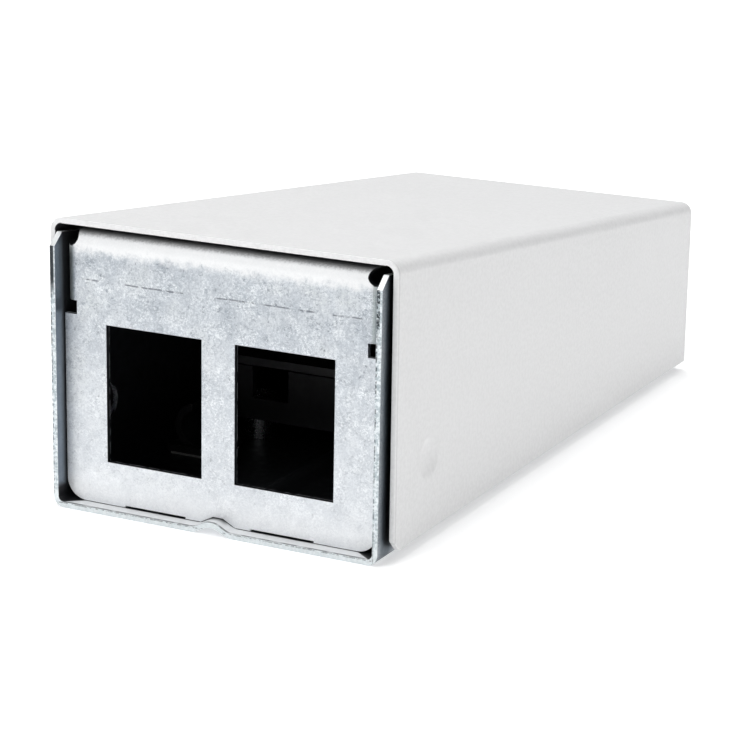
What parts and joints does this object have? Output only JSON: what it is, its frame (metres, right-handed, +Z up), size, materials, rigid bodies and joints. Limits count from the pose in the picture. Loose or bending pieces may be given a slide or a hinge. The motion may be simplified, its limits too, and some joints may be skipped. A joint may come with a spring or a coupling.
{
  "type": "fiber termination box",
  "caption": "Wedge-shaped fiber termination box: galvanised channel, two module openings, white lift-off cover and splice tray.",
  "frame": {"origin": "centre of the box's footprint on the surface it stands on, with the cover closed", "axes": "+Z up, -Y is the front with the module openings, +Y the cable entry end, +X right seen from the front"},
  "size_m": [0.0524, 0.112, 0.04],
  "materials": {
    "white_powder_coat": "satin white powder coat with fine orange peel",
    "galvanised_sheet": "hot-dip galvanised, fine spangle, semi-matt, dark lacquer inside the box",
    "zinc_hardware": "bright zinc plated",
    "brass_post": "turned brass",
    "black_rubber": "matt rubber",
    "tray_plastic": "fine moulded texture, black",
    "lid_plastic": "smooth black moulding",
    "comb_elastomer": "soft matt elastomer",
    "clip_plastic": "black nylon",
    "foam_tape": "closed-cell foam tape"
  },
  "bodies": {
    "box": {"base_channel": "galvanised_sheet", "front_panel": "galvanised_sheet", "rear_panel": "galvanised_sheet", "front_rivets": "zinc_hardware", "rear_rivets": "zinc_hardware", "cable_grommet": "black_rubber", "tray_standoffs": "zinc_hardware", "splice_tray": "tray_plastic", "tray_screws": "zinc_hardware", "lid_hinge_pin": "zinc_hardware", "splice_comb": "comb_elastomer", "comb_adhesive_pad": "foam_tape", "clamp_standoffs": "zinc_hardware", "cable_clamp": "galvanised_sheet", "clamp_screws": "zinc_hardware", "anchor_post": "brass_post", "anchor_screw": "zinc_hardware", "earth_stud": "zinc_hardware", "earth_washer": "zinc_hardware", "earth_nut": "zinc_hardware", "fibre_clips": "clip_plastic", "clip_adhesive_pads": "foam_tape"},
    "cover": {"cover": "white_powder_coat"},
    "tray_lid": {"tray_lid": "lid_plastic"}
  },
  "joints": [
    {"name": "cover_lift", "type": "slide", "parent": "box", "child": "cover", "axis": [0, 0, 1], "range_m": [0, 0.045]},
    {"name": "tray_lid_hinge", "type": "hinge", "parent": "box", "child": "tray_lid", "pos_m": [0.0205, 0.006, 0.0147], "axis": [0, 1, 0], "range_deg": [0, 20]}
  ]
}
